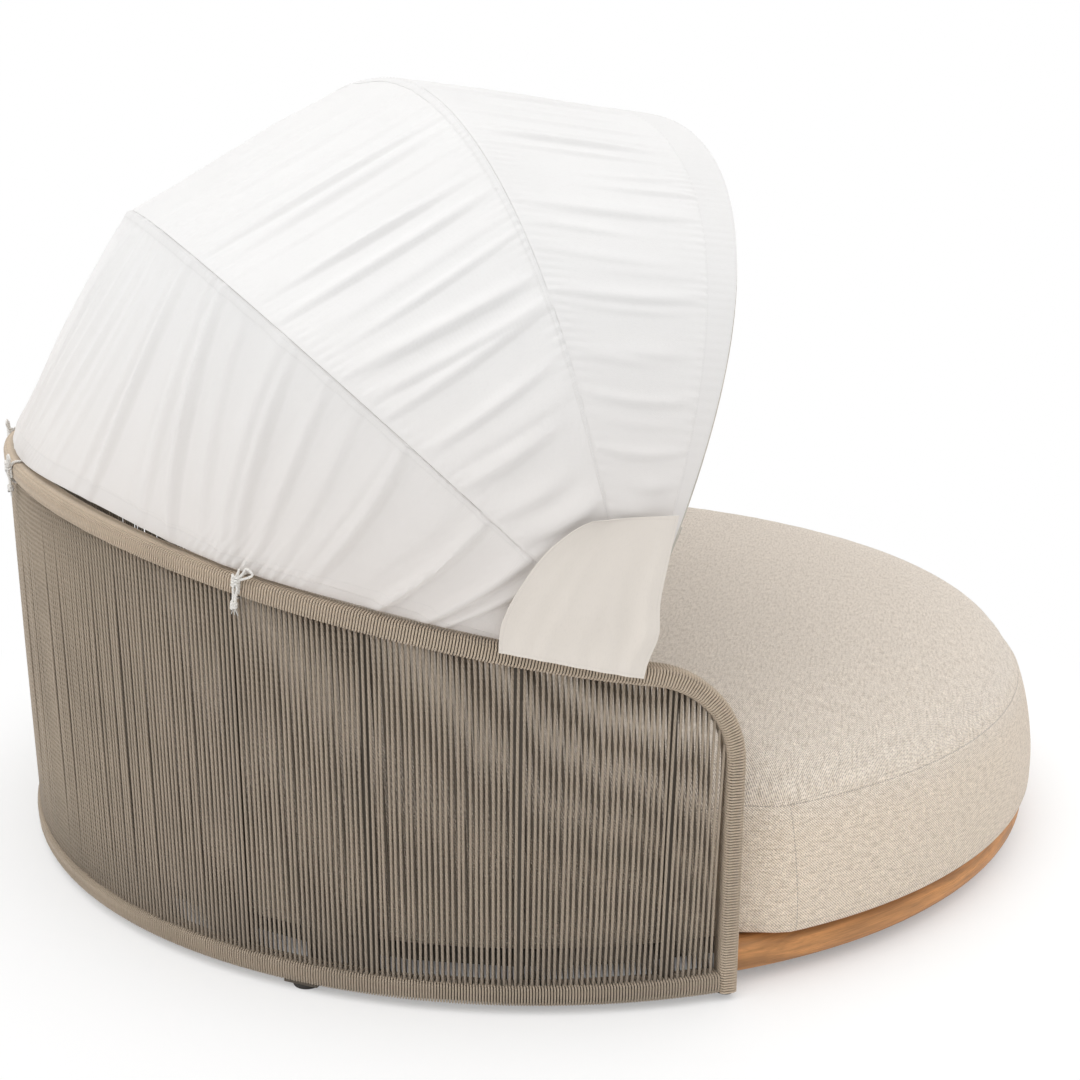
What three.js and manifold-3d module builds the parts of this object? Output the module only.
// Round outdoor daybed with a folding canopy, in millimetres, +Z up, front towards -Y.
// A thick round cushion lies on a slatted deck inside a half-round rope back.
// Three equal bows swing about one left-right axis on top of the back and carry the canopy cloth.
import * as THREE from 'three';
import Module from 'manifold-3d';

const wasm = await Module();
wasm.setup();

// Clearances and cuts
const touchGap = 0.3;
const strandGap = 0.6;
const cutOverrun = 6;

// Rope back: a rope-wound tube frame, half round in plan, leaning slightly inward
const backRadius = 1050;
const leanShare = 0.025;
const rimFrontHeight = 547;
const rimBackHeight = 756;
const rimCurvePower = 1.3;
const cornerRadius = 150;
const ropeDiameter = 5;
const railHeight = 32;
const railDepth = 36;
const railRounding = 8;
const tubeWall = 2;
const tubeHeight = railHeight - 2 * (ropeDiameter + touchGap);
const tubeDepth = railDepth - 2 * (ropeDiameter + touchGap);
const baseBottom = 14;
const baseHeight = 36;
const baseTubeHeight = baseHeight - 2 * (ropeDiameter + touchGap);
const uprightCount = 14;
const uprightWidth = 14;
const uprightDepth = 8;
const strandOffset = 9.5;
const screenCount = 5;
const slotsPerScreen = 7;
const screenEdge = 14;
const slotWidth = 8;
const rimSteps = 20;
const cornerSteps = 5;
const baseSteps = 20;
const probeTurn = 0.001;

// Deck: rim ring, slats on two beams, teak front ring, brackets and feet
const deckTop = 86;
const deckRimThickness = 12;
const ringSides = 36;
const ringSegments = 4;
const slatCount = 5;
const slatWidth = 170;
const slatInset = 275.5;
const slatThickness = 18;
const beamWidth = 45;
const beamHeight = 32;
const beamInset = 435.5;
const teakSetback = 28;
const teakRadius = backRadius - teakSetback;
const teakWidth = 60;
const teakBottom = 22;
const teakHeight = 58;
const teakRounding = 20;
const roundingSteps = 2;
const teakCount = 4;
const teakSteps = 8;
const bracketDegrees = [39, 90, 141];
const bracketWidth = 60;
const bracketPlate = 5;
const bracketSetback = 8;
const bracketReach = backRadius - bracketSetback;
const footDegrees = [-35, -90, -145];
const footRadius = 24;
const deckFootRadius = 18;
const footPlateHeight = 8;
const footStemRadius = 10;
const footSides = 12;
const postCapRadius = 15;
const postCapThickness = 3;
const postPlugRadius = 8;
const postPlugHeight = 24;

// Cushion
const cushionTop = 412;
const cushionBackGap = 1.7;
const cushionOverhang = 10;
const cushionRadius = teakRadius + cushionOverhang;
const cushionBackRadius = backRadius - leanShare * cushionTop - railDepth - cushionBackGap;
const cushionShoulder = 44;
const cushionStepStartDegrees = -6;
const cushionStepEndDegrees = -0.7;
const cushionStepSteps = 3;
const cushionFrontSteps = 22;
const cushionBackSteps = 20;
// From the drawn-in lower edge over the border seam to the crown: inset as a share of the shoulder,
// height as a share of the cushion's thickness
const cushionProfileShares = [
  [0.3, 0], [0.1, 0.012], [0, 0.05], [0.05, 0.17], [0.2, 0.29], [0.38, 0.41], [0.6, 0.53], [0.9, 0.645],
  [1.07, 0.668], [1.36, 0.748], [2, 0.84], [3.27, 0.917], [5, 0.955], [7.5, 0.9785], [13.2, 0.994],
];

// Canopy
const hubPlace = 185;
const hubLift = 24;
const canopyReach = 802;
const canopyCurvePower = 2.63;
const rearTiltDegrees = -45.4;
const middleTiltDegrees = -10.2;
const frontTiltDegrees = 23.3;
const clothThickness = 3;
const clothSlack = 1.6;
const rodRadius = 8;
const rodWall = 2;
const rodSides = 6;
const lugThickness = 4;
const lugWidth = 20;
const lugOverlap = 14;
const lugGap = 0.6;
const pinRadius = 5;
const pinGap = 0.3;
const pinSides = 10;
const pinHeadRadius = 10;
const pinHeadThickness = 5;
const cheekThickness = 4;
const saddleLength = 40;
const saddleThickness = 6;
const saddleGap = 1;
const clothStart = 84;
const hemStartDegrees = 20.5;
const foldDepth = 5;
const foldCount = 8;
const clothSteps = 36;
const clothSteepSteps = 4;
const flapThickness = 3;
const flapTop = 192;
const flapFrontDrop = 43;
const flapBackRise = 2;
const flapFrontLow = 16;
const flapFrontHigh = 63;
const flapBackHigh = 62;
const flapBackBulge = 125;
const flapEdgePower = 2.5;
const flapFullnessPower = 0.75;
const flapSteps = 6;
const flapProbe = 17;

// Tie cords round the rim
const tieDegrees = [43, 80, 100, 137];
const tieRadius = 2.3;
const tieKnotRadius = 6.5;
const tieTailLength = 46;
const tieTailSpread = 7;
const tieSides = 5;

// Materials, one per finish seen on the object
const finishes = {
  rope: { color: 0xaa9884, roughness: 0.9, metalness: 0 },
  aluminium: { color: 0x8f8a82, roughness: 0.45, metalness: 0.6 },
  deck: { color: 0xb9b4ab, roughness: 0.6, metalness: 0.2 },
  teak: { color: 0xb97d50, roughness: 0.55, metalness: 0 },
  glide: { color: 0x2c2826, roughness: 0.7, metalness: 0 },
  cushion: { color: 0xcdc1b2, roughness: 0.95, metalness: 0 },
  cloth: { color: 0xf3f0ec, roughness: 0.9, metalness: 0 },
  steel: { color: 0xb8b8b8, roughness: 0.3, metalness: 0.9 },
};

// The bottom centre of the whole object is the origin, midway between its front and back.
const model = new THREE.Group();
const placed = new THREE.Group();
const baseCentre = baseBottom + baseHeight / 2;
const backReach = backRadius - leanShare * baseCentre;
placed.position.y = -(backReach - cushionRadius) / 2;
model.add(placed);

function add(name, geometry, finish) {
  const mesh = new THREE.Mesh(geometry, new THREE.MeshStandardMaterial(finishes[finish]));
  mesh.name = name;
  placed.add(mesh);
  return mesh;
}

const squareCorners = [[1, 1], [-1, 1], [-1, -1], [1, -1]];

// Closed geometry from points and triangles: equal points become one, flat triangles go,
// and the faces are turned outward.
function closed(points, faces) {
  const keysPerMillimetre = 10000;
  const seen = new Map();
  const kept = [];
  const renumbered = points.map((point) => {
    const key = point.toArray().map((value) => Math.round(value * keysPerMillimetre)).join();
    if (!seen.has(key)) {
      seen.set(key, kept.length);
      kept.push(point);
    }
    return seen.get(key);
  });
  const triangles = faces
    .map((face) => face.map((index) => renumbered[index]))
    .filter(([a, b, c]) => a !== b && b !== c && c !== a);
  const volume = triangles.reduce((sum, [a, b, c]) => (
    sum + kept[a].dot(new THREE.Vector3().crossVectors(kept[b], kept[c]))), 0);
  const outward = volume > 0 ? triangles : triangles.map(([a, b, c]) => [a, c, b]);
  const geometry = new THREE.BufferGeometry().setFromPoints(kept);
  geometry.setIndex(outward.flat());
  geometry.computeVertexNormals();
  return geometry;
}

// Thin shell between two sheets of points over a grid of u and v, with cells left out as holes.
function shell(us, vs, outer, inner, isHole = () => false) {
  const points = [outer, inner].flatMap((sheet) => us.flatMap((u) => vs.map((v) => sheet(u, v))));
  const at = (side, i, j) => (side * us.length + i) * vs.length + j;
  const filled = (i, j) => i >= 0 && j >= 0 && i < us.length - 1 && j < vs.length - 1 && !isHole(i, j);
  const faces = [];
  const quad = (a, b, c, d) => faces.push([a, b, c], [a, c, d]);
  for (let i = 0; i < us.length - 1; i += 1) {
    for (let j = 0; j < vs.length - 1; j += 1) {
      if (!filled(i, j)) continue;
      quad(at(0, i, j), at(0, i + 1, j), at(0, i + 1, j + 1), at(0, i, j + 1));
      quad(at(1, i, j), at(1, i, j + 1), at(1, i + 1, j + 1), at(1, i + 1, j));
      if (!filled(i - 1, j)) quad(at(0, i, j), at(0, i, j + 1), at(1, i, j + 1), at(1, i, j));
      if (!filled(i + 1, j)) {
        quad(at(0, i + 1, j), at(1, i + 1, j), at(1, i + 1, j + 1), at(0, i + 1, j + 1));
      }
      if (!filled(i, j - 1)) quad(at(0, i, j), at(1, i, j), at(1, i + 1, j), at(0, i + 1, j));
      if (!filled(i, j + 1)) {
        quad(at(0, i, j + 1), at(0, i + 1, j + 1), at(1, i + 1, j + 1), at(1, i, j + 1));
      }
    }
  }
  return closed(points, faces);
}

// Solid swept through stations, each a centre with its out and up directions.
// With a bore section of as many points it is a tube with open ends.
function swept(stations, section, bore = null, joined = false) {
  const count = section.length;
  const rings = bore ? [section, bore] : [section];
  const points = stations.flatMap(({ centre, out, up }) => rings.flat().map(([a, b]) => (
    centre.clone().addScaledVector(out, a).addScaledVector(up, b))));
  const at = (station, ring, k) => (station * rings.length + ring) * count + (k % count);
  const faces = [];
  const quad = (a, b, c, d) => faces.push([a, b, c], [a, c, d]);
  const last = stations.length - 1;
  for (let i = 0; i < stations.length - (joined ? 0 : 1); i += 1) {
    const next = (i + 1) % stations.length;
    for (let k = 0; k < count; k += 1) {
      quad(at(i, 0, k), at(i, 0, k + 1), at(next, 0, k + 1), at(next, 0, k));
      if (bore) quad(at(i, 1, k), at(next, 1, k), at(next, 1, k + 1), at(i, 1, k + 1));
    }
  }
  for (let k = 0; !joined && bore && k < count; k += 1) {
    quad(at(0, 0, k), at(0, 1, k), at(0, 1, k + 1), at(0, 0, k + 1));
    quad(at(last, 0, k), at(last, 0, k + 1), at(last, 1, k + 1), at(last, 1, k));
  }
  for (let k = 1; !joined && !bore && k < count - 1; k += 1) {
    faces.push([at(0, 0, 0), at(0, 0, k + 1), at(0, 0, k)]);
    faces.push([at(last, 0, 0), at(last, 0, k), at(last, 0, k + 1)]);
  }
  return closed(points, faces);
}

// Rectangle with rounded corners as points around its centre.
function roundedSection(width, height, radius, stepsPerCorner = 1) {
  return squareCorners.flatMap(([signA, signB], quarter) => (
    spread(quarter, quarter + 1, stepsPerCorner).map((quarters) => {
      const angle = (quarters * Math.PI) / 2;
      return [
        signA * (width / 2 - radius) + radius * Math.cos(angle),
        signB * (height / 2 - radius) + radius * Math.sin(angle),
      ];
    })));
}

// Square-cornered rectangle, for a tube inside a rope winding.
function squareSection(width, height) {
  return squareCorners.map(([a, b]) => [(a * width) / 2, (b * height) / 2]);
}

function roundSection(radius, sides) {
  return Array.from({ length: sides }, (_, k) => {
    const angle = (2 * Math.PI * (k + 0.5)) / sides;
    return [radius * Math.cos(angle), radius * Math.sin(angle)];
  });
}

function toManifold(geometry) {
  const vertProperties = new Float32Array(geometry.attributes.position.array);
  const triVerts = new Uint32Array(geometry.index.array);
  return new wasm.Manifold(new wasm.Mesh({ numProp: 3, vertProperties, triVerts }));
}

function fromManifold(solid) {
  const { vertProperties, triVerts } = solid.getMesh();
  const geometry = new THREE.BufferGeometry();
  geometry.setAttribute('position', new THREE.BufferAttribute(new Float32Array(vertProperties), 3));
  geometry.setIndex(Array.from(triVerts));
  geometry.computeVertexNormals();
  return geometry;
}

function joinSolids(geometries) {
  return fromManifold(geometries.map(toManifold).reduce((sum, next) => sum.add(next)));
}

function cutSolid(geometry, cutters) {
  const start = toManifold(geometry);
  return fromManifold(cutters.map(toManifold).reduce((rest, cutter) => rest.subtract(cutter), start));
}

// Six-sided block from its eight corners, low face then high face, each in the same order.
function block(corners) {
  const faces = [
    [0, 2, 1], [0, 3, 2], [4, 5, 6], [4, 6, 7], [0, 1, 5], [0, 5, 4],
    [1, 2, 6], [1, 6, 5], [2, 3, 7], [2, 7, 6], [3, 0, 4], [3, 4, 7],
  ];
  return closed(corners, faces);
}

function turned(profile, sides) {
  const points = profile.map(([radius, height]) => new THREE.Vector2(radius, height));
  const lathe = new THREE.LatheGeometry(points, sides);
  lathe.rotateX(Math.PI / 2);
  const positions = lathe.attributes.position;
  const vertices = Array.from({ length: positions.count }, (_, k) => (
    new THREE.Vector3().fromBufferAttribute(positions, k)));
  const faces = [];
  for (let k = 0; k < lathe.index.count; k += 3) {
    faces.push([lathe.index.getX(k), lathe.index.getX(k + 1), lathe.index.getX(k + 2)]);
  }
  return closed(vertices, faces);
}

// Evenly spaced values from one number to another, both included.
function spread(from, to, steps) {
  return Array.from({ length: steps + 1 }, (_, k) => from + ((to - from) * k) / steps);
}

// A place on the back: turn runs from 0 at the left post round the back to pi at the right post.
function backPoint(turn, height, offset = 0) {
  const radius = backRadius - leanShare * height - railDepth / 2 + offset;
  return new THREE.Vector3(-radius * Math.cos(turn), radius * Math.sin(turn), height);
}

const unrolled = backRadius - railDepth / 2;
const postTurn = railHeight / 2 / unrolled;
const rimTop = (turn) => rimFrontHeight + (rimBackHeight - rimFrontHeight) * Math.sin(turn) ** rimCurvePower;
const rimCentre = (turn) => rimTop(turn) - railHeight / 2;

function rimSlope(turn) {
  const rise = rimCentre(turn + probeTurn) - rimCentre(turn - probeTurn);
  return Math.atan(rise / (2 * probeTurn * unrolled));
}

// Where the rounded front corner meets the rim with the same slope.
function cornerEnd() {
  const passes = 8;
  let slope = 0;
  let turn = 0;
  for (let pass = 0; pass < passes; pass += 1) {
    turn = postTurn + (cornerRadius * (1 - Math.sin(slope))) / unrolled;
    slope = rimSlope(turn);
  }
  return { slope, turn, start: rimCentre(turn) - cornerRadius * Math.cos(slope) };
}

const corner = cornerEnd();

// Places along the left corner, its right-hand mirror image and the rim between, as [turn, height].
function cornerPlaces(radius) {
  return spread(Math.PI, Math.PI / 2 + corner.slope, cornerSteps).map((angle) => [
    postTurn + (cornerRadius + radius * Math.cos(angle)) / unrolled,
    corner.start + radius * Math.sin(angle),
  ]);
}

function rimPlaces() {
  const left = cornerPlaces(cornerRadius);
  const right = left.map(([turn, height]) => [Math.PI - turn, height]).reverse();
  const rim = spread(corner.turn, Math.PI - corner.turn, rimSteps).slice(1, -1);
  return [...left, ...rim.map((turn) => [turn, rimCentre(turn)]), ...right];
}

// Height of a line a gap below the rim's rope, over the inner corners and the rim between them.
function undersideLine(gap) {
  const inner = cornerPlaces(cornerRadius - railHeight / 2 - gap);
  const rim = spread(corner.turn, Math.PI - corner.turn, rimSteps).slice(1, -1);
  const under = rim.map((turn) => (
    [turn, rimCentre(turn) - (railHeight / 2 + gap) / Math.cos(rimSlope(turn))]));
  const mirrored = inner.map(([turn, height]) => [Math.PI - turn, height]).reverse();
  const places = [...inner, ...under, ...mirrored];
  return (turn) => {
    const next = Math.max(1, places.findIndex(([place]) => place >= turn));
    const [turnA, heightA] = places[next - 1];
    const [turnB, heightB] = places[next];
    return heightA + ((heightB - heightA) * (turn - turnA)) / (turnB - turnA);
  };
}

const rimUnderside = undersideLine(0);
const strandTop = undersideLine(strandGap);

// Stations along places on the back. A lead-in and lead-out place set the direction at the two ends.
function backStations(places, leadIn = places[0], leadOut = places[places.length - 1]) {
  const framed = [leadIn, ...places, leadOut];
  return places.map(([turn, height], k) => {
    const run = (framed[k + 2][0] - framed[k][0]) * unrolled;
    const rise = framed[k + 2][1] - framed[k][1];
    const radial = new THREE.Vector3(-Math.cos(turn), Math.sin(turn), 0);
    const along = new THREE.Vector3(Math.sin(turn) * run, Math.cos(turn) * run, rise)
      .addScaledVector(radial, -leanShare * rise)
      .normalize();
    const out = radial.addScaledVector(along, -radial.dot(along)).normalize();
    const up = new THREE.Vector3().crossVectors(along, out).normalize();
    return { centre: backPoint(turn, height), out, up };
  });
}

// Upright bars between the rails, grown by a clearance where they are used to cut passages.
function upright(index, grow, low, highOf) {
  const turn = (Math.PI * (index + 0.5)) / uprightCount;
  const half = (uprightWidth / 2 + grow) / unrolled;
  const depth = uprightDepth / 2 + grow;
  const sides = [[turn - half, -depth], [turn + half, -depth], [turn + half, depth], [turn - half, depth]];
  const lowFace = sides.map(([place, offset]) => backPoint(place, low, offset));
  const highFace = sides.map(([place, offset]) => backPoint(place, highOf(place), offset));
  return block([...lowFace, ...highFace]);
}

const baseTubeTop = baseCentre + baseTubeHeight / 2;
const rimTubeUnderside = (turn) => rimUnderside(turn) + ropeDiameter;
const uprightIndexes = [...Array(uprightCount).keys()];
const rimTurnAt = (place) => Math.asin(place / (unrolled - leanShare * rimFrontHeight));
const hubHeight = rimTop(rimTurnAt(hubPlace)) + hubLift;

function addRail() {
  const rim = rimPlaces();
  const rimStart = [postTurn, corner.start];
  const tubeSection = squareSection(tubeDepth, tubeHeight);
  const tubeBore = squareSection(tubeDepth - 2 * tubeWall, tubeHeight - 2 * tubeWall);
  const wrapSection = roundedSection(railDepth, railHeight, railRounding);
  const wrapBore = roundedSection(tubeDepth + 2 * touchGap, tubeHeight + 2 * touchGap, touchGap);
  const post = [[postTurn, baseBottom], rimStart];
  const otherPost = post.map(([turn, height]) => [Math.PI - turn, height]).reverse();
  const wholeRail = [post[0], ...rim, otherPost[1]];
  add('back_frame_rim_tube', swept(backStations(wholeRail), tubeSection, tubeBore), 'aluminium');

  const passages = uprightIndexes.map((index) => (
    upright(index, touchGap, baseTubeTop, (turn) => rimTubeUnderside(turn) + cutOverrun)));
  const rimWinding = swept(backStations(rim, post[0], otherPost[1]), wrapSection, wrapBore);
  add('rope_winding_rim', cutSolid(rimWinding, passages), 'rope');

  // The base rail runs from post to post, and the rope on the posts leaves a passage for it.
  const tubeStart = postTurn + (tubeHeight / 2 + touchGap) / unrolled;
  const wrapStart = postTurn + (railHeight / 2 + touchGap) / unrolled;
  const wrapPlaces = spread(wrapStart, Math.PI - wrapStart, baseSteps).map((turn) => [turn, baseCentre]);
  const tubePlaces = [[tubeStart, baseCentre], ...wrapPlaces, [Math.PI - tubeStart, baseCentre]];
  const baseTube = squareSection(tubeDepth, baseTubeHeight);
  const baseTubeBore = squareSection(tubeDepth - 2 * tubeWall, baseTubeHeight - 2 * tubeWall);
  const baseWrap = roundedSection(railDepth, baseHeight, railRounding);
  const baseWrapBore = roundedSection(tubeDepth + 2 * touchGap, baseTubeHeight + 2 * touchGap, touchGap);
  const bars = uprightIndexes.map((index) => (
    upright(index, 0, baseTubeTop - tubeWall / 2, (turn) => rimTubeUnderside(turn) - touchGap)));
  const base = swept(backStations(tubePlaces), baseTube, baseTubeBore);
  add('back_frame_base_rail_and_uprights', joinSolids([base, ...bars]), 'aluminium');
  const basePassages = uprightIndexes.map((index) => (
    upright(index, touchGap, baseTubeTop - tubeWall / 2, () => baseTubeTop + ropeDiameter + cutOverrun)));
  const baseWinding = swept(backStations(wrapPlaces), baseWrap, baseWrapBore);
  add('rope_winding_base', cutSolid(baseWinding, basePassages), 'rope');

  [['left', post], ['right', otherPost]].forEach(([side, places]) => {
    const short = places.map(([turn, height]) => [turn, height === baseBottom ? height : height - touchGap]);
    const winding = swept(backStations(short), wrapSection, wrapBore);
    const mirror = (turn) => (side === 'left' ? turn : Math.PI - turn);
    const passage = [postTurn, wrapStart + cutOverrun / unrolled].map((turn) => [mirror(turn), baseCentre]);
    const cutter = swept(backStations(passage), baseWrapBore);
    add(`rope_winding_post_${side}`, cutSolid(winding, [cutter]), 'rope');
    const plateTop = baseBottom - touchGap - (leanShare * railDepth) / 2;
    const plateBottom = plateTop - postCapThickness;
    const plug = [
      [0, plateBottom], [postCapRadius, plateBottom], [postCapRadius, plateTop], [postPlugRadius, plateTop],
      [postPlugRadius, baseBottom + postPlugHeight], [0, baseBottom + postPlugHeight],
    ];
    const cap = turned(plug, footSides);
    const under = backPoint(mirror(postTurn), baseBottom);
    cap.translate(under.x, under.y, 0);
    add(`post_cap_${side}`, cap, 'glide');
  });
}

// Frame of the straight stretch of rim that holds a turn.
function rimSpot(turn) {
  const places = rimPlaces();
  const next = places.findIndex(([place]) => place > turn);
  const [from, to] = [backPoint(...places[next - 1]), backPoint(...places[next])];
  const share = (turn - places[next - 1][0]) / (places[next][0] - places[next - 1][0]);
  const along = to.clone().sub(from).normalize();
  const radial = new THREE.Vector3(-Math.cos(turn), Math.sin(turn), 0);
  const out = radial.addScaledVector(along, -radial.dot(along)).normalize();
  return { centre: from.lerp(to, share), out, along, up: new THREE.Vector3().crossVectors(along, out) };
}

// Closed loop of cord round the rim at a turn, as stations for a sweep.
function tieLoop({ centre, out, along, up }) {
  const grow = touchGap + tieRadius;
  const rounding = railRounding + grow * (2 - Math.SQRT2);
  const loop = roundedSection(railDepth + 2 * grow, railHeight + 2 * grow, rounding);
  const middle = loop.map(([a, b]) => centre.clone().addScaledVector(out, a).addScaledVector(up, b));
  return middle.map((point, k) => {
    const before = middle[(k + middle.length - 1) % middle.length];
    const after = middle[(k + 1) % middle.length];
    const tangent = after.clone().sub(before).normalize();
    return { centre: point, out: along, up: new THREE.Vector3().crossVectors(tangent, along) };
  });
}

function addTies() {
  tieDegrees.forEach((degrees, index) => {
    const spot = rimSpot(THREE.MathUtils.degToRad(degrees));
    const { centre, out, along } = spot;
    const cord = roundSection(tieRadius, tieSides);
    const loop = swept(tieLoop(spot), cord, null, true);
    const knotPlace = centre.clone().addScaledVector(out, railDepth / 2 + touchGap + tieKnotRadius);
    const knotHalf = tieKnotRadius / 2;
    const knot = turned(
      [[0, -tieKnotRadius], [tieKnotRadius, -knotHalf], [tieKnotRadius, knotHalf], [0, tieKnotRadius]],
      tieSides,
    );
    knot.translate(knotPlace.x, knotPlace.y, knotPlace.z);
    const tails = [-1, 1].map((side) => {
      const end = knotPlace.clone().addScaledVector(along, side * tieTailSpread);
      end.z -= tieTailLength;
      const tangent = end.clone().sub(knotPlace).normalize();
      const across = new THREE.Vector3().crossVectors(tangent, out).normalize();
      return swept([knotPlace, end].map((place) => ({ centre: place, out, up: across })), cord);
    });
    add(`tie_cord_${index + 1}`, joinSolids([loop, knot, ...tails]), 'cloth');
  });
}

// Vertical rope field: panels of rope with narrow slots, an outer and an inner layer.
function addRopeScreens() {
  const start = postTurn + (railHeight / 2 + strandGap) / unrolled;
  const low = baseBottom + baseHeight + strandGap;
  const bounds = spread(start, Math.PI - start, screenCount);
  const notchDepth = 2 * (tieRadius + touchGap) + 2 * touchGap;
  const notchHalf = (tieRadius + 2 * touchGap) / unrolled;
  [['outer', strandOffset], ['inner', -strandOffset]].forEach(([layer, offset]) => {
    for (let k = 0; k < screenCount; k += 1) {
      const first = bounds[k] + touchGap / 2 / unrolled;
      const last = bounds[k + 1] - touchGap / 2 / unrolled;
      const slotTurn = slotWidth / unrolled;
      const bandTurn = (last - first - slotsPerScreen * slotTurn) / (slotsPerScreen + 1);
      const bands = spread(first, last - bandTurn, slotsPerScreen);
      const us = bands.flatMap((turn) => [turn, turn + bandTurn]);
      const heightAt = (turn, v) => {
        const high = strandTop(turn);
        const heights = [low, low + screenEdge, high - screenEdge, high];
        return heights[v];
      };
      const sheet = (shift) => (turn, v) => backPoint(turn, heightAt(turn, v), offset + shift);
      const isSlot = (i, j) => j === 1 && i % 2 === 1;
      const half = ropeDiameter / 2;
      const panel = shell(us, [0, 1, 2, 3], sheet(half), sheet(-half), isSlot);
      const notches = tieDegrees.map((degrees) => {
        const { centre, up } = rimSpot(THREE.MathUtils.degToRad(degrees));
        const under = centre.addScaledVector(up, -(railHeight / 2 + touchGap + tieRadius));
        const turn = Math.atan2(under.y, -under.x);
        const places = [[-1, -1], [1, -1], [1, 1], [-1, 1]].map(([a, b]) => (
          [turn + a * notchHalf, offset + b * ropeDiameter]));
        const [lowEnd, highEnd] = [rimUnderside(turn) - notchDepth, rimUnderside(turn) + cutOverrun];
        const lowFace = places.map(([place, shift]) => backPoint(place, lowEnd, shift));
        const highFace = places.map(([place, shift]) => backPoint(place, highEnd, shift));
        return { turn, cutter: block([...lowFace, ...highFace]) };
      }).filter(({ turn }) => turn > bounds[k] && turn < bounds[k + 1]);
      const finished = notches.length ? cutSolid(panel, notches.map(({ cutter }) => cutter)) : panel;
      add(`rope_screen_${layer}_${k + 1}`, finished, 'rope');
    }
  });
}

// Deck frame, slats, teak front ring, brackets and feet
const teakStepHalf = Math.PI / teakCount / teakSteps / 2;
const deckRimRadius = (teakRadius - teakWidth) * Math.cos(teakStepHalf) - touchGap;
const deckRimInner = deckRimRadius - deckRimThickness;
const slatBottom = deckTop - slatThickness;
const beamBottom = slatBottom - touchGap - beamHeight;
const slatPitch = (2 * (deckRimInner - slatInset)) / (slatCount - 1);
const beamPlace = deckRimInner - beamInset;

// Half the length of a straight bar that ends against the ring's flats, by its outer edge's place.
function barHalf(place, halfWidth) {
  const edge = Math.abs(place) + halfWidth;
  const step = (2 * Math.PI) / ringSides;
  const turn = step * Math.floor(Math.asin(edge / deckRimInner) / step);
  const [fromSide, toSide] = [turn, turn + step].map((angle) => deckRimInner * Math.sin(angle));
  const [fromEnd, toEnd] = [turn, turn + step].map((angle) => deckRimInner * Math.cos(angle));
  return fromEnd + ((toEnd - fromEnd) * (edge - fromSide)) / (toSide - fromSide) - touchGap;
}

// Level ring or part of one in equal segments, a hairline apart, between turns about the middle.
function addArcs(name, section, finish, { middle, centreHeight, bounds, steps }) {
  const gapTurn = (Math.sign(bounds[1] - bounds[0]) * touchGap) / 2 / middle;
  bounds.slice(1).forEach((end, k) => {
    const stations = spread(bounds[k] + gapTurn, end - gapTurn, steps).map((turn) => {
      const out = new THREE.Vector3(-Math.cos(turn), Math.sin(turn), 0);
      const centre = out.clone().multiplyScalar(middle).setZ(centreHeight);
      return { centre, out, up: new THREE.Vector3(0, 0, 1) };
    });
    add(`${name}_${k + 1}`, swept(stations, section), finish);
  });
}

function addDeck() {
  const height = deckTop - beamBottom;
  addArcs('deck_rim_segment', squareSection(deckRimThickness, height), 'deck', {
    middle: (deckRimInner + deckRimRadius) / 2,
    centreHeight: beamBottom + height / 2,
    bounds: spread(0, 2 * Math.PI, ringSegments),
    steps: ringSides / ringSegments,
  });
  for (let k = 0; k < slatCount; k += 1) {
    const place = (k - (slatCount - 1) / 2) * slatPitch;
    const slat = new THREE.BoxGeometry(2 * barHalf(place, slatWidth / 2), slatWidth, slatThickness);
    slat.translate(0, place, slatBottom + slatThickness / 2);
    add(`deck_slat_${k + 1}`, slat, 'deck');
  }
  [-1, 1].forEach((side, k) => {
    const length = 2 * barHalf(beamPlace, beamWidth / 2);
    const beam = new THREE.BoxGeometry(beamWidth, length, beamHeight);
    beam.translate(side * beamPlace, 0, beamBottom + beamHeight / 2);
    add(`deck_beam_${k + 1}`, beam, 'deck');
  });
}

function addTeak() {
  const middle = teakRadius - teakWidth / 2;
  const endTurn = touchGap / 2 / middle;
  addArcs('teak_ring_segment', roundedSection(teakWidth, teakHeight, teakRounding, roundingSteps), 'teak', {
    middle,
    centreHeight: teakBottom + teakHeight / 2,
    bounds: spread(-endTurn, endTurn - Math.PI, teakCount),
    steps: teakSteps,
  });
}

function placeRound(geometry, degrees, radius) {
  const turn = THREE.MathUtils.degToRad(degrees);
  geometry.rotateZ(Math.PI - turn);
  geometry.translate(-radius * Math.cos(turn), radius * Math.sin(turn), 0);
  return geometry;
}

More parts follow.
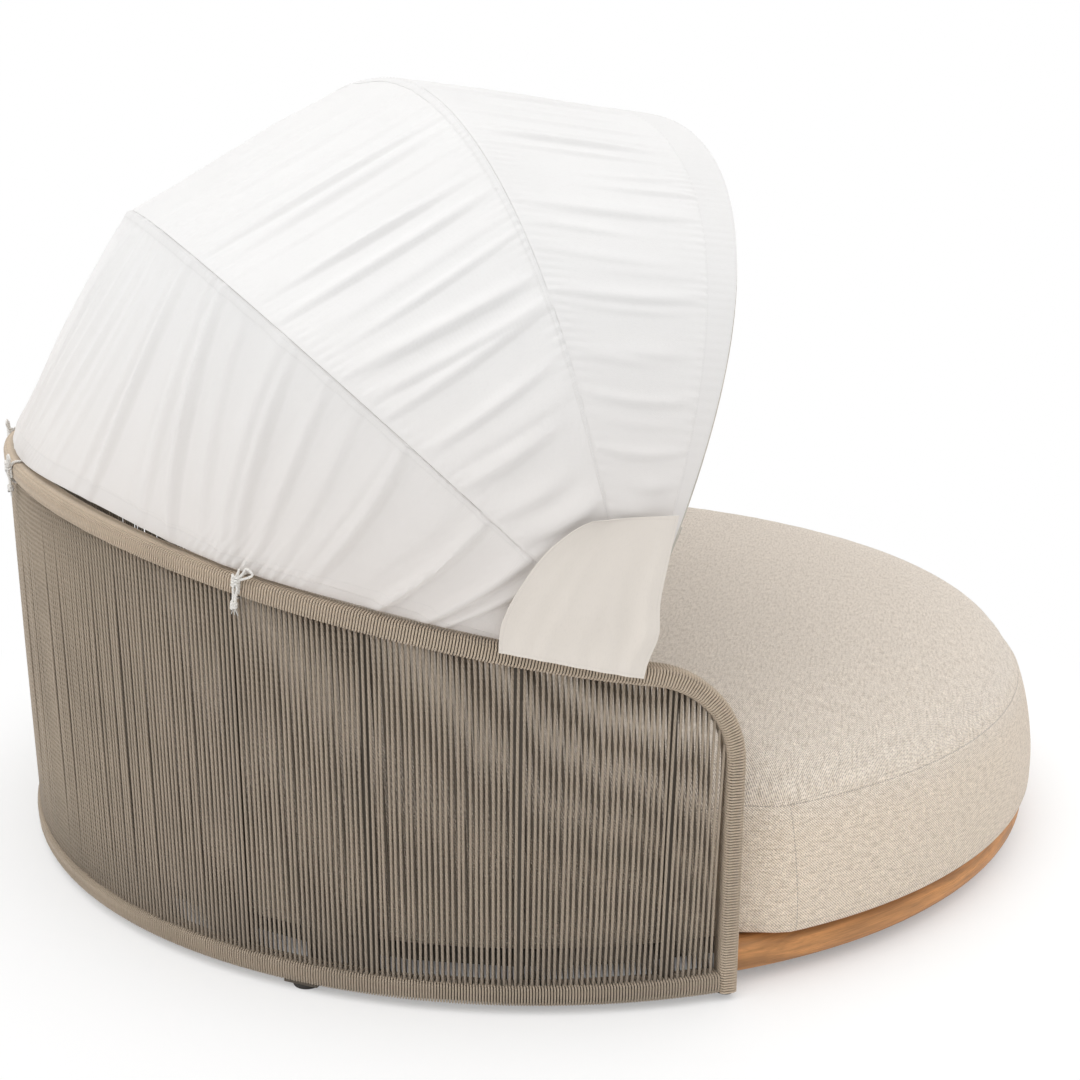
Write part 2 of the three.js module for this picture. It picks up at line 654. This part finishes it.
function addFeet() {
  const plateTop = baseBottom - touchGap;
  const plateBottom = plateTop - bracketPlate;
  const legStart = deckRimRadius + touchGap;
  bracketDegrees.forEach((degrees, k) => {
    const outline = new THREE.Shape();
    outline.moveTo(legStart, plateBottom);
    outline.lineTo(bracketReach, plateBottom);
    outline.lineTo(bracketReach, plateTop);
    outline.lineTo(legStart + bracketPlate, plateTop);
    outline.lineTo(legStart + bracketPlate, deckTop - bracketPlate);
    outline.lineTo(legStart, deckTop - bracketPlate);
    const angle = new THREE.ExtrudeGeometry(outline, { depth: bracketWidth, bevelEnabled: false });
    angle.rotateX(Math.PI / 2);
    angle.translate(0, bracketWidth / 2, 0);
    add(`back_bracket_${k + 1}`, placeRound(angle, degrees, 0), 'deck');
    const padTop = plateBottom - touchGap;
    const pad = [[0, 0], [footRadius, 0], [footRadius, padTop], [0, padTop]];
    const foot = placeRound(turned(pad, footSides), degrees, bracketReach - footRadius);
    add(`foot_back_${k + 1}`, foot, 'glide');
  });
  const stemTop = beamBottom - touchGap;
  footDegrees.forEach((degrees, k) => {
    const profile = [
      [0, 0], [deckFootRadius, 0], [deckFootRadius, footPlateHeight], [footStemRadius, footPlateHeight],
      [footStemRadius, stemTop], [0, stemTop],
    ];
    const foot = placeRound(turned(profile, footSides), degrees, deckRimInner);
    add(`foot_front_${k + 1}`, foot, 'glide');
  });
}

// Cushion: flat underside, drawn-in lower edge, full side, border seam and crowned top.
// Its plan steps in where it passes behind the posts of the back.
function addCushion() {
  const bottom = deckTop + touchGap;
  const side = cushionProfileShares.map(([insetShare, heightShare]) => (
    [cushionShoulder * insetShare, bottom + (cushionTop - bottom) * heightShare]));
  const profile = [[cushionRadius, bottom], ...side, [cushionRadius, cushionTop]];
  const [stepStart, stepEnd] = [cushionStepStartDegrees, cushionStepEndDegrees].map(THREE.MathUtils.degToRad);
  const steps = spread(stepStart, stepEnd, cushionStepSteps);
  const front = spread(Math.PI - stepStart, 2 * Math.PI + stepStart, cushionFrontSteps);
  const turns = [
    ...spread(0, Math.PI, cushionBackSteps), ...steps.map((turn) => Math.PI - turn).reverse(),
    ...front.slice(1), ...steps.map((turn) => 2 * Math.PI + turn).slice(1),
  ];
  const reach = (turn) => {
    const toPost = THREE.MathUtils.radToDeg(Math.asin(Math.max(0, -Math.sin(turn))));
    const share = THREE.MathUtils.smoothstep(toPost, -cushionStepEndDegrees, -cushionStepStartDegrees);
    return cushionBackRadius + (cushionRadius - cushionBackRadius) * share;
  };
  const points = turns.flatMap((turn) => profile.map(([inset, height]) => {
    const radius = Math.max(0, (reach(turn) * (cushionRadius - inset)) / cushionRadius);
    return new THREE.Vector3(-radius * Math.cos(turn), radius * Math.sin(turn), height);
  }));
  const faces = [];
  turns.forEach((_, i) => {
    const next = (i + 1) % turns.length;
    for (let j = 0; j < profile.length - 1; j += 1) {
      const [a, b] = [i * profile.length + j, next * profile.length + j];
      faces.push([a, b, b + 1], [a, b + 1, a + 1]);
    }
  });
  add('cushion', closed(points, faces), 'cushion');
}

// Canopy bows: superellipse arches about the hub axis.
const clothReach = canopyReach - clothThickness;
const rodReach = clothReach - clothSlack - rodRadius;
const lugPitch = lugThickness + lugGap;
const hubMiddle = Math.sqrt(unrolled ** 2 - hubPlace ** 2) - leanShare * hubHeight;
const archPower = 2 / canopyCurvePower;

// Shares of the sweep where the cloth has its stations; every second one is a station of the rods.
const clothLow = Math.asin((clothStart / rodReach) ** (1 / archPower)) / Math.PI;
const clothShares = spread(clothLow, 1 - clothLow, clothSteps);
const rodShares = clothShares.filter((share, k) => k % 2 === 1);
const rodStart = rodReach * Math.sin(rodShares[0] * Math.PI) ** archPower;
const narrowing = Math.cos(rodShares[0] * Math.PI) ** archPower;
const tilts = [['rear', rearTiltDegrees, 1], ['middle', middleTiltDegrees, 0], ['front', frontTiltDegrees, -1]];
const bows = tilts.map(
  ([name, degrees, place]) => {
    const lugPlace = hubMiddle + place * lugPitch;
    return { name, tilt: THREE.MathUtils.degToRad(degrees), lugPlace, halfWidth: lugPlace / narrowing };
  },
);

function hubPoint(x, reach, tilt) {
  return new THREE.Vector3(x, hubPlace - reach * Math.sin(tilt), hubHeight + reach * Math.cos(tilt));
}

// Point of an arch at a share of its sweep from the left hub, grown outward by an amount.
function archPoint(bow, share, grow) {
  const angle = share * Math.PI;
  const side = Math.sign(Math.cos(angle)) * Math.abs(Math.cos(angle)) ** archPower;
  return hubPoint(-(bow.halfWidth + grow) * side, (rodReach + grow) * Math.sin(angle) ** archPower, bow.tilt);
}

function addBow(bow) {
  const centres = rodShares.map((share) => archPoint(bow, share, 0));
  const normal = new THREE.Vector3(0, Math.cos(bow.tilt), Math.sin(bow.tilt));
  const stations = centres.map((centre, k) => {
    const before = centres[Math.max(0, k - 1)];
    const after = centres[Math.min(centres.length - 1, k + 1)];
    const along = after.clone().sub(before).normalize();
    return { centre, out: new THREE.Vector3().crossVectors(along, normal).normalize(), up: normal };
  });
  const rod = swept(stations, roundSection(rodRadius, rodSides), roundSection(rodRadius - rodWall, rodSides));
  const lugs = [-1, 1].map((side) => {
    const outline = new THREE.Shape();
    outline.moveTo(lugWidth / 2, rodStart + lugOverlap);
    outline.lineTo(-lugWidth / 2, rodStart + lugOverlap);
    outline.lineTo(-lugWidth / 2, 0);
    outline.absarc(0, 0, lugWidth / 2, Math.PI, 2 * Math.PI, false);
    const hole = new THREE.Path();
    hole.absarc(0, 0, pinRadius + pinGap, 0, 2 * Math.PI, true);
    outline.holes.push(hole);
    const depth = lugThickness;
    const lug = new THREE.ExtrudeGeometry(outline, { depth, bevelEnabled: false, curveSegments: rodSides });
    lug.translate(0, 0, -lugThickness / 2);
    lug.rotateX(Math.PI / 2);
    lug.rotateZ(Math.PI / 2);
    lug.rotateX(bow.tilt);
    lug.translate(side * bow.lugPlace, hubPlace, hubHeight);
    return mergedSolid(lug);
  });
  add(`canopy_bow_${bow.name}`, joinSolids([rod, ...lugs]), 'aluminium');
}

// Extruded geometry as a closed solid with shared points.
function mergedSolid(geometry) {
  const positions = geometry.attributes.position;
  const order = geometry.index ? Array.from(geometry.index.array) : [...Array(positions.count).keys()];
  const vertices = Array.from({ length: positions.count }, (_, k) => (
    new THREE.Vector3().fromBufferAttribute(positions, k)));
  const faces = [];
  for (let k = 0; k < order.length; k += 3) faces.push([order[k], order[k + 1], order[k + 2]]);
  return closed(vertices, faces);
}

// Hub bracket: a saddle on the rim with two cheeks, and a headed pin through cheeks and lugs.
const stackHalf = (lugPitch * bows.length + lugGap) / 2;
const cheekTop = hubHeight + lugWidth / 2;

function addHub(side, name) {
  const middle = side * hubMiddle;
  const under = (place) => {
    const turn = rimTurnAt(place);
    return rimCentre(turn) + (railHeight / 2 + saddleGap) / Math.cos(rimSlope(turn));
  };
  const front = hubPlace - saddleLength / 2;
  const back = hubPlace + saddleLength / 2;
  const halfWidth = stackHalf + cheekThickness;
  const corners = (low, high, x0, x1, y0, y1) => {
    const flat = [[x0, y0], [x1, y0], [x1, y1], [x0, y1]];
    return block([
      ...flat.map(([x, y]) => new THREE.Vector3(x, y, low(y))),
      ...flat.map(([x, y]) => new THREE.Vector3(x, y, high(y))),
    ]);
  };
  const [xa, xb] = [middle - halfWidth, middle + halfWidth];
  const saddle = corners(under, (y) => under(y) + saddleThickness, xa, xb, front, back);
  const cheekHalf = lugWidth / 2 + cheekThickness;
  const cheekLow = (y) => under(y) + saddleThickness / 2;
  const cheeks = [[xa, xa + cheekThickness], [xb - cheekThickness, xb]].map(([x0, x1]) => (
    corners(cheekLow, () => cheekTop, x0, x1, hubPlace - cheekHalf, hubPlace + cheekHalf)));
  const drillLength = 2 * (halfWidth + cutOverrun);
  const drill = new THREE.CylinderGeometry(pinRadius + pinGap, pinRadius + pinGap, drillLength, pinSides);
  drill.rotateZ(Math.PI / 2);
  drill.translate(middle, hubPlace, hubHeight);
  const bracket = cutSolid(joinSolids([saddle, ...cheeks]), [mergedSolid(drill)]);
  add(`hub_bracket_${name}`, bracket, 'steel');
  const headStart = halfWidth + touchGap;
  const headEnd = headStart + pinHeadThickness;
  const pin = turned([
    [0, -headEnd], [pinHeadRadius, -headEnd], [pinHeadRadius, -headStart], [pinRadius, -headStart],
    [pinRadius, headStart], [pinHeadRadius, headStart], [pinHeadRadius, headEnd], [0, headEnd],
  ], pinSides);
  pin.rotateY(Math.PI / 2);
  pin.translate(middle, hubPlace, hubHeight);
  add(`hub_pin_${name}`, pin, 'steel');
}

// Cloth between two edge curves, with shallow folds running from edge to edge.
// The cloth's underside lies on the edge curves and its thickness stands outward.
function clothPanel(edgeA, edgeB) {
  const rowGap = touchGap / 2;
  const base = (share, across) => {
    const [a, b] = [edgeA(share), edgeB(share)];
    const width = a.distanceTo(b);
    const place = (rowGap + (width - 2 * rowGap) * across) / width;
    return a.lerp(b, place);
  };
  const axis = new THREE.Vector3(0, hubPlace, hubHeight);
  const normalAt = (share, across) => {
    const place = Math.min(1 - probeTurn, Math.max(probeTurn, share));
    const alongShare = base(place + probeTurn, across).sub(base(place - probeTurn, across));
    const alongAcross = base(place, 1).sub(base(place, 0));
    const normal = alongShare.cross(alongAcross).normalize();
    return normal.dot(base(place, across).sub(axis)) < 0 ? normal.negate() : normal;
  };
  const fold = (share, across) => {
    const fade = Math.sin(Math.PI * across) * Math.sqrt(Math.sin(Math.PI * share));
    return (foldDepth * fade * (1 - Math.cos(2 * Math.PI * foldCount * share))) / 2;
  };
  const sheet = (lift) => (share, across) => (
    base(share, across).addScaledVector(normalAt(share, across), lift + fold(share, across)));
  return shell(spread(0, 1, clothSteps), spread(0, 1, clothSteepSteps), sheet(clothThickness), sheet(0));
}

// The line over a bow where panels meet, high enough for each of them to clear the rod.
function ridge(bow, neighbours) {
  const seat = rodRadius + clothSlack;
  return (share) => {
    const place = clothLow + (1 - 2 * clothLow) * share;
    const over = archPoint(bow, place, seat);
    const inward = archPoint(bow, place, 0).sub(over).normalize();
    const along = archPoint(bow, place + probeTurn, 0).sub(archPoint(bow, place - probeTurn, 0));
    const sines = neighbours.map((edge) => (
      Math.abs(edge(share).sub(over).cross(along).normalize().dot(inward))));
    return archPoint(bow, place, seat / Math.min(1, ...sines));
  };
}

function addCanopy() {
  const hemStart = THREE.MathUtils.degToRad(hemStartDegrees);
  const hemGap = 2 * (tieRadius + touchGap) + touchGap;
  const hem = (share) => {
    const turn = hemStart + (Math.PI - 2 * hemStart) * share;
    return backPoint(turn, rimTop(turn) + hemGap, 0);
  };
  const [rearCrest, middleCrest, frontCrest] = bows.map((bow) => ridge(bow, []));
  const rearLine = ridge(bows[0], [hem, middleCrest]);
  const middleLine = ridge(bows[1], [rearCrest, frontCrest]);
  const frontLine = ridge(bows[2], [middleCrest]);
  add('canopy_panel_rear', clothPanel(hem, rearLine), 'cloth');
  add('canopy_panel_middle', clothPanel(rearLine, middleLine), 'cloth');
  add('canopy_panel_front', clothPanel(middleLine, frontLine), 'cloth');
}

// Cover flap over each hub: cloth with an arched back edge that lies over the canopy's gathered end,
// the hub and the rim. Its front edge follows the front bow.
function addFlap(side, name) {
  const covered = ['canopy_panel_rear', 'canopy_panel_middle', 'canopy_panel_front', `hub_pin_${name}`];
  const under = covered.map((piece) => placed.getObjectByName(piece));
  const far = 2 * backRadius;
  const reachAt = (y, z) => {
    const probes = [-1, 0, 1].flatMap((a) => [-1, 0, 1].map((b) => [y + a * flapProbe, z + b * flapProbe]));
    const hits = probes.map(([placeY, placeZ]) => {
      const origin = new THREE.Vector3(side * far, placeY, placeZ);
      const [first] = new THREE.Raycaster(origin, new THREE.Vector3(-side, 0, 0)).intersectObjects(under);
      return first ? far - first.distance : 0;
    });
    const rimReach = Math.sqrt((backRadius - leanShare * z) ** 2 - y ** 2);
    return Math.max(rimReach, ...hits) + clothSlack;
  };
  const place = (v, across) => {
    const front = -flapFrontLow - (flapFrontHigh - flapFrontLow) * v;
    const back = flapBackHigh + flapBackBulge * (1 - v ** flapEdgePower) ** flapFullnessPower;
    const low = -flapFrontDrop + (flapFrontDrop + flapBackRise) * across;
    return [hubPlace + front + (back - front) * across, hubHeight + low + (flapTop - low) * v];
  };
  const sheet = (lift) => (v, across) => {
    const [y, z] = place(v, across);
    return new THREE.Vector3(side * (reachAt(y, z) + lift), y, z);
  };
  const steps = spread(0, 1, flapSteps);
  add(`hub_cover_${name}`, shell(steps, steps, sheet(flapThickness), sheet(0)), 'cloth');
}

addDeck();
addTeak();
addFeet();
addCushion();
addRail();
addRopeScreens();
bows.forEach(addBow);
addHub(-1, 'left');
addHub(1, 'right');
addCanopy();
addFlap(-1, 'left');
addFlap(1, 'right');
addTies();

export default model;
